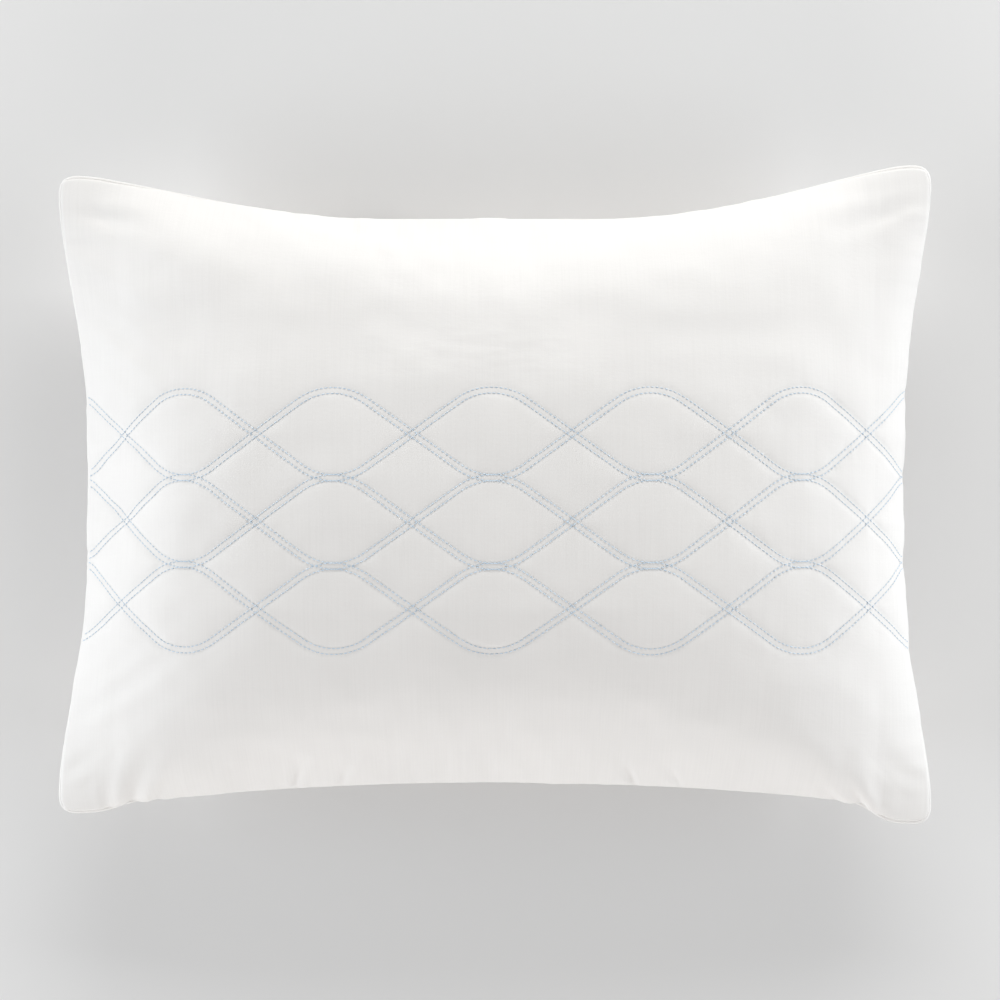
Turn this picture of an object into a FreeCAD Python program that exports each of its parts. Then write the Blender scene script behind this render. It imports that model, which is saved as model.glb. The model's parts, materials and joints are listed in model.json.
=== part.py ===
"""Bed pillow: a piped sateen cover with a quilted front and a zip, over a fibre-filled inner pillow.

Millimetres. +Z is up, +X runs along the pillow's length, and the zip is in the -Y edge. The origin is on
the surface that the pillow lies on, under the middle of its box.
"""

import FreeCAD, Part
import math
import os

Vector = FreeCAD.Vector

# Pillow: its outline is the seam between the front and back panels.
pillow_length = 650.0  # between the corners, along X
pillow_width = 481.0  # between the corners, along Y, halfway along the pillow
end_flare = 4.0  # each corner at the +X end lies this much further out, and at the -X end further in
loft_above_seam = 92.0
seam_height = 58.0  # from the surface that the pillow lies on
corner_spread = 14.0  # how far the rounding of a corner reaches along each side
end_start = 2.5  # corner spreads, from a corner to the first control point along an end
rear_start = 2.0  # the same along the rear edge
end_points = 8
rear_points = 11
zip_edge_points = 11
crown_length = 0.97  # of the ellipse that the crown rounds towards, as shares of the pillow
crown_width = 0.93

# The seams draw in between the corners as the filling swells.
end_pull_in = 22.0
end_ramp_start = 28.0  # from the corner
end_ramp_length = 125.0
rear_pull_in = 36.5
rear_ramp_start = 22.0
rear_ramp_length = 160.0
front_pull_in = 27.5  # at the middle of the zip edge
zip_edge_bow = 15.0  # of the zip edge between its two kinks
kink_inset = 49.0  # from the corner to the kink beside it
lobe_inset = 31.0  # from the corner to where its lobe turns towards the kink
lobe_slope = 1.0  # how much further in that turn lies than the corner

# Cloth layers
cover_cloth = 0.6
wadding_thickness = 3.0
backing_thickness = 0.4
ticking_thickness = 0.5
layer_gap = 0.1
inner_pillow_gap = 10.0  # from the piping's flange to the inner pillow's seam
casing_gap = 1.0  # between the cover and the inner pillow, above and below

# Piping and seams
piping_radius = 1.7
piping_cord_radius = 1.1
piping_flange = 10.0  # seam allowance, from the seam inwards
flange_thickness = 0.8
piping_gap = 0.3  # between the tube and the panels' edge
thread_width = 0.6
thread_height = 0.4
seam_thread_inset = 7.5
casing_thread_radius = 0.6
sides_of_round_section = 12

# Quilting: rows of antiphase waves, each wave sewn as two parallel lines
quilt_rows = 3
row_spacing = 62.0
band_offset = -19.5  # from the pillow's middle to the middle row, along Y
lens_length = 110.0
wave_height = 31.0  # from a row's middle to the rounded crest, halfway between the two lines
crest_radius = 40.0
line_spacing = 5.8

# Zip
zip_end_gap = 22.0  # from a kink in the zip edge to the coils' end
zip_inset = 6.7  # of the chain's middle behind the seam
zip_drop = 8.0  # of the chain's middle below the seam
zip_tilt = 35.0  # degrees that the chain leans from upright, to face outwards and down
tape_thickness = 0.6
tape_margin = 8.0  # tape beyond the coils, at each end
tape_reach_lower = 12.0  # from the chain's middle
tape_reach_upper = 7.0  # along the piping's flange
coil_width = 2.2
coil_height = 1.8
coil_bevel = 0.45
coil_overhang = 0.2  # of a coil past its tape's edge
stop_length = 3.0
stop_lap = 0.5
zip_clearance = 0.3
slot_end_gap = 2.0  # past the tapes, and past the pull where the zip is open
slot_back_gap = 0.9  # behind the slider
slot_reach = 20.0  # outwards and upwards, past the back panel's edge

# Slider and pull
slider_length = 10.5
slider_nose_bevel = 1.5
slider_flange = 1.0
plate_thickness = 1.0
post_thickness = 0.8
post_length = 3.0
post_setback = 1.0  # from the slider's mouth
post_end_inset = 0.25  # from the slider's outer faces
rear_narrowing = 0.8  # of the slider's plates, on each side
bridge_length = 7.2
bridge_width = 2.2
bridge_thickness = 1.0
bridge_fillet = 0.8
bridge_sink = 0.25  # of its feet into the front plate
pull_length = 24.0
pull_width = 6.4
pull_thickness = 1.2
pull_bar_radius = 0.7
pull_arm_width = 1.5
pull_clearance = 0.35
pull_end_radius = 2.4

# Care label
label_width = 32.0
label_length = 38.0
label_thickness = 0.4
label_x = -95.0

half_length = pillow_length / 2
front_edge_middle = -(pillow_width / 2 - front_pull_in)
rear_edge_middle = pillow_width / 2 - rear_pull_in
kink_x = half_length - kink_inset
zip_length = 2 * (kink_x - zip_end_gap)  # of the coils
seam_radius = kink_x**2 / (2 * zip_edge_bow) + zip_edge_bow / 2
arc_centre = Vector(0, front_edge_middle - seam_radius, 0)
chain_radius = seam_radius + zip_inset
chain_z = seam_height - zip_drop
tilt = math.radians(zip_tilt)
coil_gap = post_thickness + 2 * zip_clearance
inner_pillow_inset = piping_flange + inner_pillow_gap

# Rows of the panels' control net, from the seam to the crown: scale, share of the loft, roundness
upper_rows = [
    (1.0, 0.0, 0.0),
    (0.975, 0.20, 0.0),
    (0.91, 0.50, 0.08),
    (0.78, 0.80, 0.25),
    (0.56, 0.96, 0.5),
    (0.32, 1.0, 0.8),
    (0.12, 1.0, 1.0),
]
lower_rows = [
    (1.0, 0.0, 0.0),
    (0.972, 0.20, 0.0),
    (0.92, 0.50, 0.04),
    (0.84, 0.84, 0.1),
    (0.74, 1.0, 0.2),
    (0.62, 1.0, 0.35),
]


def spread(start, end, count):
    """Evenly spaced values from start to end, both included."""
    return [start + (end - start) * i / (count - 1) for i in range(count)]


def ramp(distance, start, length):
    """0 up to start, then rising evenly to 1 over length."""
    return min(max((distance - start) / length, 0.0), 1.0)


def corner_y(x):
    """Half the pillow's width at the end that x is nearer to."""
    return pillow_width / 2 + math.copysign(end_flare, x)


def arc_y(x):
    """The zip edge's Y at x."""
    return arc_centre.y + math.sqrt(seam_radius**2 - x**2)


def end_side(side):
    """Control points up one end, where side is -1 or 1."""
    points = []
    last = corner_y(side) - end_start * corner_spread
    for y in spread(-last, last, end_points):
        distance = corner_y(side) - abs(y)
        pulled = end_pull_in * ramp(distance, end_ramp_start, end_ramp_length)
        points.append((side * (half_length - pulled), y))
    return points


def rear_side():
    """Control points of the rear edge, from +X to -X."""
    points = []
    first = half_length - rear_start * corner_spread
    for x in spread(first, -first, rear_points):
        rise = corner_y(x) - rear_edge_middle
        drawn = rise * ramp(half_length - abs(x), rear_ramp_start, rear_ramp_length)
        points.append((x, corner_y(x) - drawn))
    return points


def front_corner(side, deep):
    """Control points from the kink at one end, round the lobe and the corner, which lies at Y deep."""
    return [
        (side * (half_length - lobe_inset), deep + lobe_slope),
        (side * (half_length - corner_spread), deep),
        (side * half_length, deep),
        (side * half_length, deep + corner_spread),
    ]


def rear_corner(side):
    """Control points round one rear corner, from the end to the rear edge."""
    high = corner_y(side)
    return [
        (side * half_length, high - corner_spread),
        (side * half_length, high),
        (side * (half_length - corner_spread), high),
    ]


def outline(left_deep, right_deep):
    """Control points of a seam in plan, anticlockwise from the left kink; deep is a front corner's Y."""
    arc_xs = [-kink_x] + spread(-zip_length / 2, zip_length / 2, zip_edge_points) + [kink_x]
    return (
        [(x, arc_y(x)) for x in arc_xs]
        + front_corner(1, right_deep)
        + end_side(1)
        + rear_corner(1)
        + rear_side()
        + rear_corner(-1)[::-1]
        + end_side(-1)[::-1]
        + front_corner(-1, left_deep)[::-1]
    )


def cover_outline():
    """The cover's seam, whose front corners stand out past the zip in lobes."""
    return outline(-corner_y(-1), -corner_y(1))


def inner_outline():
    """The inner pillow's seam before it is drawn in: it has no lobes."""
    deep = arc_y(half_length)
    return outline(deep, deep)


def scaled(loop, inset):
    """The loop drawn in towards its middle, by inset at its corners."""
    along = (half_length - inset) / half_length
    across = (pillow_width / 2 - inset) / (pillow_width / 2)
    return [(x * along, y * across) for x, y in loop]


def rounded(x, y, roundness):
    """A control point, moved towards the ellipse that suits the pillow's proportions."""
    a = half_length * crown_length
    b = pillow_width / 2 * crown_width
    angle = math.atan2(y / b, x / a)
    return (
        x * (1 - roundness) + a * math.cos(angle) * roundness,
        y * (1 - roundness) + b * math.sin(angle) * roundness,
    )


def offset_loop(loop, out):
    """The loop moved outwards by out, keeping its sides parallel."""
    moved = []
    for i, (x, y) in enumerate(loop):
        before = loop[i - 1]
        after = loop[(i + 1) % len(loop)]
        first = Vector(x - before[0], y - before[1], 0).normalize()
        second = Vector(after[0] - x, after[1] - y, 0).normalize()
        normal = Vector(first.y + second.y, -first.x - second.x, 0).normalize()
        reach = out / normal.dot(Vector(second.y, -second.x, 0))
        moved.append((x + normal.x * reach, y + normal.y * reach))
    return moved


def quarters(count):
    """The knots where a closed curve of count spans is divided in four."""
    knots = [round(count * i / 4) for i in range(5)]
    return list(zip(knots[:-1], knots[1:]))


def loop_edges(poles):
    """A smooth closed curve with these control points, as four edges."""
    count = len(poles)
    edges = []
    for start, end in quarters(count):
        curve = Part.BSplineCurve()
        curve.buildFromPolesMultsKnots(poles, [1] * (count + 1), range(count + 1), True, 3)
        curve.segment(start, end)
        edges.append(curve.toShape())
    return edges


def net_faces(net):
    """The smooth band round the pillow whose control points are the net's rows, as four faces."""
    degree = min(3, len(net) - 1)
    spans = len(net) - degree
    around = len(net[0])
    faces = []
    for start, end in quarters(around):
        surface = Part.BSplineSurface()
        surface.buildFromPolesMultsKnots(
            net,
            [degree + 1] + [1] * (spans - 1) + [degree + 1],
            [1] * (around + 1),
            range(spans + 1),
            range(around + 1),
            False,
            True,
            degree,
            3,
        )
        surface.segment(0, spans, start, end)
        faces.append(surface.toShape())
    return faces


def ring(loop, section):
    """A solid of constant cross-section round the loop: section holds (outwards, z) corners."""
    rails = [[Vector(x, y, z) for x, y in offset_loop(loop, out)] for out, z in section]
    faces = []
    for i, rail in enumerate(rails):
        faces += net_faces([rails[i - 1], rail])
    return solid_of(faces)


def round_section(out, z, radius):
    """Corners of a round cross-section."""
    angles = [2 * math.pi * i / sides_of_round_section for i in range(sides_of_round_section)]
    return [(out + radius * math.cos(a), z + radius * math.sin(a)) for a in angles]


def solid_of(faces):
    """One closed solid from faces that meet edge to edge."""
    shell = Part.makeShell(faces)
    shell.sewShape()
    solid = Part.makeSolid(shell)
    if solid.Volume < 0:
        solid.reverse()
    return solid


def control_net(rows, loop, base, crown):
    """Rows of control points from the loop at height base to the flat at height crown."""
    net = []
    for scale, share, roundness in rows:
        row = []
        for x, y in loop:
            px, py = rounded(x, y, roundness)
            row.append(Vector(px * scale, py * scale, base + (crown - base) * share))
        net.append(row)
    return net


def half_pillow(rows, loop, base, crown):
    """The solid between a flat base in the loop and a crowned surface that ends in a flat."""
    net = control_net(rows, loop, base, crown)
    faces = net_faces(net)
    faces.append(Part.Face(Part.Wire(loop_edges(net[0]))))
    faces.append(Part.Face(Part.Wire(loop_edges(net[-1]))))
    return solid_of(faces)


def upper_half(inset):
    """Everything above the piping's flange and at least inset inside the front panel's face."""
    base = seam_height + flange_thickness / 2
    loop = scaled(cover_outline(), inset)
    return half_pillow(upper_rows, loop, base, seam_height + loft_above_seam - inset)


def lower_half(inset):
    """Everything below the piping's flange and at least inset inside the back panel's face."""
    base = seam_height - flange_thickness / 2
    return half_pillow(lower_rows, scaled(cover_outline(), inset), base, inset)


def upper_layer(outer_inset, thickness):
    """A cloth layer over the pillow, from outer_inset inwards, standing on the piping's flange."""
    return upper_half(outer_inset).cut(upper_half(outer_inset + thickness))


def zip_point(along_tape, proud):
    """A point by the chain's middle: up the tape from there, and outwards from the tapes' face."""
    radius = chain_radius - along_tape * math.sin(tilt) - proud * math.cos(tilt)
    z = chain_z + along_tape * math.cos(tilt) - proud * math.sin(tilt)
    return arc_centre + Vector(0, radius, z)


def swung(section, start, end):
    """A section in the plane x = 0 swept along the zip's arc, between two lengths from its middle."""
    face = Part.Face(Part.makePolygon(section + section[:1]))
    face.rotate(arc_centre, Vector(0, 0, 1), math.degrees(-start / chain_radius))
    return face.revolve(arc_centre, Vector(0, 0, 1), math.degrees(-(end - start) / chain_radius))


def zip_strip(section, start, end):
    """A section of (along_tape, proud) corners swept along the zip's arc."""
    return swung([zip_point(a, p) for a, p in section], start, end)


def zip_slot():
    """The space that the zip and its slider need in the back panel."""
    half = max(tape_half_length(), slider_rest() + pull_length) + slot_end_gap
    low = -(slider_half_width() + zip_clearance)
    back = slider_back() - slot_back_gap
    section = [(low, back), (low, slot_reach), (slot_reach, slot_reach), (slot_reach, back)]
    return zip_strip(section, -half, half)


def slider_half_width():
    """From the chain's middle to the outside of the slider's flanges."""
    return coil_gap / 2 + coil_width + zip_clearance + slider_flange


def front_panel():
    return upper_layer(0, cover_cloth)


def quilt_wadding():
    return upper_layer(cover_cloth + layer_gap, wadding_thickness)


def quilt_backing():
    return upper_layer(cover_cloth + wadding_thickness + 2 * layer_gap, backing_thickness)


def back_panel():
    return lower_half(0).cut(lower_half(cover_cloth)).cut(zip_slot())


def wave_line(row_middle, phase, shift):
    """Points and arcs of one stitched wave in plan, moved sideways by shift: (start, middle, end)."""
    flank = math.atan2(2 * sharp_crest(), lens_length)
    rise = shift / math.cos(flank)
    count = math.ceil(half_length / lens_length) + 1
    steps = []
    for i in range(-count, count + 1):
        sign = phase if i % 2 == 0 else -phase
        radius = crest_radius + sign * shift
        top = row_middle + sign * sharp_crest() + rise
        reach = radius * math.tan(flank / 2)
        dx = reach * math.cos(flank)
        dy = sign * reach * math.sin(flank)
        crest = top - sign * radius * (1 / math.cos(flank) - 1)
        x = i * lens_length
        steps.append(((x - dx, top - dy), (x, crest), (x + dx, top - dy)))
    return steps


def sharp_crest():
    """How high a wave's straight flanks would meet above its row's middle."""
    short = crest_radius - wave_height
    steepness = 1 - (2 * crest_radius / lens_length) ** 2
    root = math.sqrt(short**2 + steepness * (crest_radius**2 - short**2))
    return (root - short) / steepness


def wave_edges(steps):
    """Edges through a wave's flanks and crests, level with the piping's top."""
    edges = []
    last = None
    level = seam_height + piping_radius + piping_gap
    for start, crest, end in steps:
        a, b, c = [Vector(x, y, level) for x, y in (start, crest, end)]
        if last:
            edges.append(Part.LineSegment(last, a).toShape())
        edges.append(Part.Arc(a, b, c).toShape())
        last = c
    return edges


def quilting_thread():
    """Every stitched line, as a ribbon lying on the front panel."""
    skin = upper_layer(-(thread_height + layer_gap), thread_height)
    ribbons = []
    for row in range(quilt_rows):
        middle = band_offset + row_spacing * (row - (quilt_rows - 1) / 2)
        for phase in (1, -1):
            for side in (-1, 1):
                centre = side * line_spacing / 2
                low = wave_edges(wave_line(middle, phase, centre - thread_width / 2))
                high = wave_edges(wave_line(middle, phase, centre + thread_width / 2))
                left = Part.LineSegment(low[0].Vertexes[0].Point, high[0].Vertexes[0].Point)
                right = Part.LineSegment(low[-1].Vertexes[-1].Point, high[-1].Vertexes[-1].Point)
                edges = low + high + [left.toShape(), right.toShape()]
                face = Part.Face(Part.Wire(Part.__sortEdges__(edges)))
                ribbons.append(face.extrude(Vector(0, 0, 2 * loft_above_seam)).common(skin))
    return Part.makeCompound([solid for ribbon in ribbons for solid in ribbon.Solids])


def piping_centre():
    """How far the piping's middle stands out from the seam."""
    return piping_radius + piping_gap


def piping_cover():
    """A strip folded round the cord, with both its edges in the seam."""
    half = flange_thickness / 2
    gap_angle = math.asin(half / piping_radius)
    section = [(-piping_flange, seam_height - half)]
    for turn in spread(math.pi + gap_angle, 3 * math.pi - gap_angle, sides_of_round_section):
        out = piping_centre() + piping_radius * math.cos(turn)
        section.append((out, seam_height + piping_radius * math.sin(turn)))
    section.append((-piping_flange, seam_height + half))
    return ring(cover_outline(), section).cut(piping_cord())


def piping_cord():
    return ring(cover_outline(), round_section(piping_centre(), seam_height, piping_cord_radius))


def seam_thread():
    low = seam_height + flange_thickness / 2
    near = -seam_thread_inset
    far = near - thread_width
    high = low + thread_height
    return ring(cover_outline(), [(far, low), (near, low), (near, high), (far, high)])


def inner_loop(inset):
    """The inner pillow's seam, drawn in by a further inset."""
    return scaled(inner_outline(), inner_pillow_inset + inset)


def inner_upper_half(inset):
    """The upper half of the inner pillow, drawn in by inset."""
    quilted = cover_cloth + wadding_thickness + backing_thickness + 2 * layer_gap
    crown = seam_height + loft_above_seam - quilted - casing_gap - inset
    return half_pillow(upper_rows, inner_loop(inset), seam_height, crown)


def inner_lower_half(inset):
    """The lower half of the inner pillow, drawn in by inset."""
    crown = cover_cloth + casing_gap + inset
    return half_pillow(lower_rows, inner_loop(inset), seam_height, crown)


def inner_casing_front():
    return inner_upper_half(0).cut(inner_upper_half(ticking_thickness))


def inner_casing_back():
    return inner_lower_half(0).cut(inner_lower_half(ticking_thickness))


def inner_casing_thread():
    out = casing_thread_radius + layer_gap
    return ring(inner_loop(0), round_section(out, seam_height, casing_thread_radius))


def fibre_fill():
    inset = ticking_thickness + layer_gap
    return inner_upper_half(inset).fuse(inner_lower_half(inset)).removeSplitter()


def zip_tape_upper():
    """A tape that leans up from the chain, and turns inwards under the piping's flange."""
    edge = coil_gap / 2 + coil_overhang
    under_flange = seam_height - flange_thickness / 2
    shelf = under_flange - tape_thickness
    outer_turn = zip_point((under_flange - chain_z) / math.cos(tilt), 0)
    inner_rise = shelf - chain_z - tape_thickness * math.sin(tilt)
    inner_turn = zip_point(inner_rise / math.cos(tilt), -tape_thickness)
    far = outer_turn.y + tape_reach_upper
    section = [
        zip_point(edge, 0),
        outer_turn,
        Vector(0, far, under_flange),
        Vector(0, far, shelf),
        inner_turn,
        zip_point(edge, -tape_thickness),
    ]
    return swung(section, -tape_half_length(), tape_half_length())


def tape_half_length():
    """From the zip's middle to the end of its tapes."""
    return zip_length / 2 + tape_margin


def zip_tape_lower():
    edge = -(coil_gap / 2 + coil_overhang)
    low = -tape_reach_lower
    section = [(edge, 0), (low, 0), (low, -tape_thickness), (edge, -tape_thickness)]
    return zip_strip(section, -tape_half_length(), tape_half_length())


def coil(side):
    """One half of the closed chain: side is 1 above the chain's middle, -1 below."""
    near = coil_gap / 2
    far = near + coil_width
    section = [
        (near, 0),
        (far, 0),
        (far, coil_height - coil_bevel),
        (far - coil_bevel, coil_height),
        (near + coil_bevel, coil_height),
        (near, coil_height - coil_bevel),
    ]
    return zip_strip([(side * a, p) for a, p in section], -zip_length / 2, zip_length / 2)


def zip_coil_upper():
    return coil(1)


def zip_coil_lower():
    return coil(-1)


def zip_top_stops():
    """A clip round each tape's edge, at the end where the zip closes."""
    edge = coil_gap / 2 + coil_overhang
    far = coil_gap / 2 + coil_width
    back = -tape_thickness
    clip = [
        (edge - coil_overhang, back - stop_lap),
        (far, back - stop_lap),
        (far, back),
        (edge, back),
        (edge, 0),
        (far, 0),
        (far, coil_height),
        (edge - coil_overhang, coil_height),
    ]
    start = zip_length / 2
    clips = [
        zip_strip([(side * a, p) for a, p in clip], start, start + stop_length)
        for side in (-1, 1)
    ]
    return Part.makeCompound(clips)


def zip_bottom_stop():
    """One clip across both tapes, at the other end."""
    edge = coil_gap / 2 + coil_overhang
    far = coil_gap / 2 + coil_width
    back = -tape_thickness
    right = [(far, back - stop_lap), (far, back), (edge, back), (edge, 0), (far, 0), (far, coil_height)]
    left = [(-a, p) for a, p in right[::-1]]
    end = -zip_length / 2
    return zip_strip(right + left, end - stop_length, end)


def slider_rest():
    """Where the closed zip's slider stands along its arc, against the top stops."""
    return zip_length / 2 - slider_length / 2 - zip_clearance


def at_slider(shape):
    """A shape drawn about the origin, with X along the chain, Y up the tape and Z outwards, in place."""
    up = Vector(0, -math.sin(tilt), math.cos(tilt))
    out = Vector(0, -math.cos(tilt), -math.sin(tilt))
    turned = FreeCAD.Rotation(Vector(1, 0, 0), up, out, "XYZ")
    placed = shape.copy()
    placed.Placement = FreeCAD.Placement(zip_point(0, 0), turned)
    placed.rotate(arc_centre, Vector(0, 0, 1), math.degrees(-slider_rest() / chain_radius))
    return placed


def slider_plate(low, thickness):
    """A plate of the slider, narrower at the end that the closed chain leaves by."""
    half = slider_half_width()
    nose = half - slider_nose_bevel
    tail = half - rear_narrowing
    end = slider_length / 2
    corners = [
        (-end, -tail),
        (0, -half),
        (end - slider_nose_bevel, -half),
        (end, -nose),
        (end, nose),
        (end - slider_nose_bevel, half),
        (0, half),
        (-end, tail),
    ]
    points = [Vector(x, y, low) for x, y in corners]
    return Part.Face(Part.makePolygon(points + points[:1])).extrude(Vector(0, 0, thickness))


def slider_channel_top():
    return coil_height + zip_clearance


def slider_front():
    """The outer face of the slider's front plate."""
    return slider_channel_top() + plate_thickness


def slider_back():
    """The outer face of the slider's back plate."""
    return -(tape_thickness + zip_clearance + plate_thickness)


def zip_slider():
    front = slider_plate(zip_clearance, slider_front() - zip_clearance)
    channel_half = coil_gap / 2 + coil_width + zip_clearance
    channel = Part.makeBox(
        2 * slider_length,
        2 * channel_half,
        2 * slider_channel_top(),
        Vector(-slider_length, -channel_half, -slider_channel_top()),
    )
    body = front.cut(channel)
    body = body.fuse(slider_plate(slider_back(), plate_thickness))
    low = slider_back() + post_end_inset
    high = slider_front() - post_end_inset
    near = slider_length / 2 - post_setback - post_length
    corner = Vector(near, -post_thickness / 2, low)
    post = Part.makeBox(post_length, post_thickness, high - low, corner)
    body = body.fuse(post)
    return at_slider(body.fuse(slider_bridge()).removeSplitter())


def bar_height():
    """The pull's pivot, outwards from the tapes' face."""
    return slider_front() + pull_clearance + pull_bar_radius


def slider_bridge():
    """The arch that holds the pull."""
    inside = 2 * (pull_bar_radius + pull_clearance)
    height = bridge_sink + inside + bridge_thickness
    corner = Vector(-bridge_length / 2, -bridge_width / 2, slider_front() - bridge_sink)
    arch = Part.makeBox(bridge_length, bridge_width, height, corner)
    opening = Part.makeBox(
        bridge_length - 2 * bridge_thickness,
        2 * bridge_width,
        inside,
        Vector(-bridge_length / 2 + bridge_thickness, -bridge_width, slider_front()),
    )
    high = [edge for edge in arch.Edges if edge.BoundBox.ZMin > slider_front()]
    ends = [edge for edge in high if edge.BoundBox.XLength < bridge_thickness]
    return arch.makeFillet(bridge_fillet, ends).cut(opening)


def zip_pull():
    """The tab, lying back along the closed chain from its bar."""
    half = pull_width / 2
    low = bar_height() - pull_thickness / 2
    blade = Part.makeBox(pull_length, pull_width, pull_thickness, Vector(-pull_length, -half, low))
    far = [edge for edge in blade.Edges if edge.BoundBox.XMax < -pull_length / 2]
    ends = [edge for edge in far if edge.BoundBox.YLength < pull_thickness]
    blade = blade.makeFillet(pull_end_radius, ends)
    eye_half = half - pull_arm_width
    eye_length = bridge_length / 2 + 2 * pull_clearance + pull_bar_radius
    eye = Part.makeBox(
        eye_length + pull_length,
        2 * eye_half,
        3 * pull_thickness,
        Vector(-eye_length, -eye_half, low - pull_thickness),
    )
    bar = Part.makeCylinder(
        pull_bar_radius, pull_width, Vector(0, -half, bar_height()), Vector(0, 1, 0)
    )
    return at_slider(blade.cut(eye).fuse(bar).removeSplitter())


def care_label():
    """A blank woven label, hanging from the rear seam behind the pillow's underside."""
    y = rear_edge_middle + piping_centre() - label_thickness / 2
    top = seam_height - piping_radius
    corner = Vector(label_x - label_width / 2, y, top - label_length)
    return Part.makeBox(label_width, label_thickness, label_length, corner)


parts = {
    "front_panel": front_panel,
    "quilt_wadding": quilt_wadding,
    "quilt_backing": quilt_backing,
    "quilting_thread": quilting_thread,
    "back_panel": back_panel,
    "piping_cover": piping_cover,
    "piping_cord": piping_cord,
    "seam_thread": seam_thread,
    "inner_casing_front": inner_casing_front,
    "inner_casing_back": inner_casing_back,
    "inner_casing_thread": inner_casing_thread,
    "fibre_fill": fibre_fill,
    "zip_tape_upper": zip_tape_upper,
    "zip_tape_lower": zip_tape_lower,
    "zip_coil_upper": zip_coil_upper,
    "zip_coil_lower": zip_coil_lower,
    "zip_top_stops": zip_top_stops,
    "zip_bottom_stop": zip_bottom_stop,
    "zip_slider": zip_slider,
    "zip_pull": zip_pull,
    "care_label": care_label,
}

os.makedirs("parts", exist_ok=True)
for name, build in parts.items():
    shape = build()
    shape.exportStep(f"parts/{name}.step")
    print(name, shape.isValid(), len(shape.Solids), round(shape.Volume, 2))
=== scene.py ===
import json
import math

import bpy
import numpy as np
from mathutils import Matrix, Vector


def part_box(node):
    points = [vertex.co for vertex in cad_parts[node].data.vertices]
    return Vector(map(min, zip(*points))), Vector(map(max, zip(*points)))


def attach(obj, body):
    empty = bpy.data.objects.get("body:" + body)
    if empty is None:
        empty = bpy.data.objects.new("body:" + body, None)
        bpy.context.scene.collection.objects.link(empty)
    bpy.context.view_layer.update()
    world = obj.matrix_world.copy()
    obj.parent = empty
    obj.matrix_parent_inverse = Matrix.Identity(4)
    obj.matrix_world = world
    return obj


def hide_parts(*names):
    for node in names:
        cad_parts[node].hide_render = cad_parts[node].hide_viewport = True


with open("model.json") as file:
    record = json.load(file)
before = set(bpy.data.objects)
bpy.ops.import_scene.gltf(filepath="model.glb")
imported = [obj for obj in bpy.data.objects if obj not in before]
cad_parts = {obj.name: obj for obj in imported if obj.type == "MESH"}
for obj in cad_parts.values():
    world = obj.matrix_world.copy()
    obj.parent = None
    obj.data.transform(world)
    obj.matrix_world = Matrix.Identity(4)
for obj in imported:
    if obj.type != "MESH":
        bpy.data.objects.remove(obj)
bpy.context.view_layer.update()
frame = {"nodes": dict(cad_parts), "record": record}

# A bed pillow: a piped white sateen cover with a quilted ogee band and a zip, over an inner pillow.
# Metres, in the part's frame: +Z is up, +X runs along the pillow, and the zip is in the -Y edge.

# Outline of the cover's seam
half_length = 0.325
half_width = 0.2405
end_flare = 0.004
corner_spread = 0.014
end_pull_in = 0.022
end_ramp_start = 0.028
end_ramp_length = 0.125
rear_pull_in = 0.0365
rear_ramp_start = 0.022
rear_ramp_length = 0.160
front_pull_in = 0.0275
zip_edge_bow = 0.015
kink_inset = 0.049
lobe_inset = 0.031
lobe_slope = 0.001
zip_end_gap = 0.022
end_start = 2.5
rear_start = 2.0
end_points = 8
side_points = 11
curve_steps = 40
kink_x = half_length - kink_inset
zip_length = 2 * (kink_x - zip_end_gap)
seam_radius = kink_x**2 / (2 * zip_edge_bow) + zip_edge_bow / 2
arc_centre_y = front_pull_in - half_width - seam_radius

# Heights
seam_z = sum(c.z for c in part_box("piping_cord")) / 2
crown_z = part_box("front_panel")[1].z
flange = 0.0008
flange_reach = 0.010
front_z = seam_z + flange / 2  # of the front panel's edge
back_z = seam_z - flange / 2

# Cut of each panel: the flat cloth is wider than the seam where the filling takes it up
cut_half_length = 0.3325
cut_half_width = 0.2440

# Simulation
sim_u, sim_v = 105, 77
sim_frames = 40
sim_draw_frames = 12
start_rise = 0.060
start_drop = 0.045
start_fade_rows = 6
cloth_rules = {
    "quality": 6,
    "mass": 0.02,
    "tension_stiffness": 40,
    "compression_stiffness": 8,
    "shear_stiffness": 6,
    "bending_stiffness": 0.25,
    "air_damping": 2,
    "use_pressure": True,
    "uniform_pressure_force": 100,
}

# Fine panels
fine_u, fine_v = 409, 229
crowding = 0.75
crowded_rows = 6
soften_rounds = 3
fade_rows = 8
rest_reach = 0.006  # above the floor, where the back panel's folds fade out
floor_gap = 0.0002

# Quilting
quilt_rows = 3
row_spacing = 0.0634
band_v = -0.0189  # the middle row, across the cloth from its middle
band_u = -0.0030
lens_length = 0.114
wave_height = 0.0317
crest_radius = 0.040
line_spacing = 0.0044
stitch_pitch = 0.0034
stitch_length = 0.0027
thread_radius = 0.00030
stitch_arch = 0.00045  # of a stitch's middle above its ends
stitch_dip = 0.0001
stitch_taper = (0.45, 0.9, 1.05, 1.05, 0.9, 0.45)  # shares of the thread's radius
stitch_edge_gap = 0.002
thread_sides = 6
crests_each_way = 4
points_per_crest = 15
stitch_sink = 0.0006
stitch_sink_reach = 0.0016
puff = 0.0012
puff_reach = 0.013
pucker_height = 0.00022
pucker_pitch = 0.0042
broad_pucker_pitch = 0.009
fine_pucker_share = 0.6
pucker_reach = 0.006

# Crown: the padded band stands proud, and the ends fall away
band_back_v = 0.132
band_rise_reach = 0.066
band_rise_height = 0.007
end_fall_u = 0.170
end_fall_reach = 0.120
end_fall = 0.006

# Corners, where the filling lifts the cloth off the piping
corner_slope = 0.45
corner_slope_reach = 0.060
corner_blend = 0.003
corner_blend_reach = 0.004
corner_reach = 0.050

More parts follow.
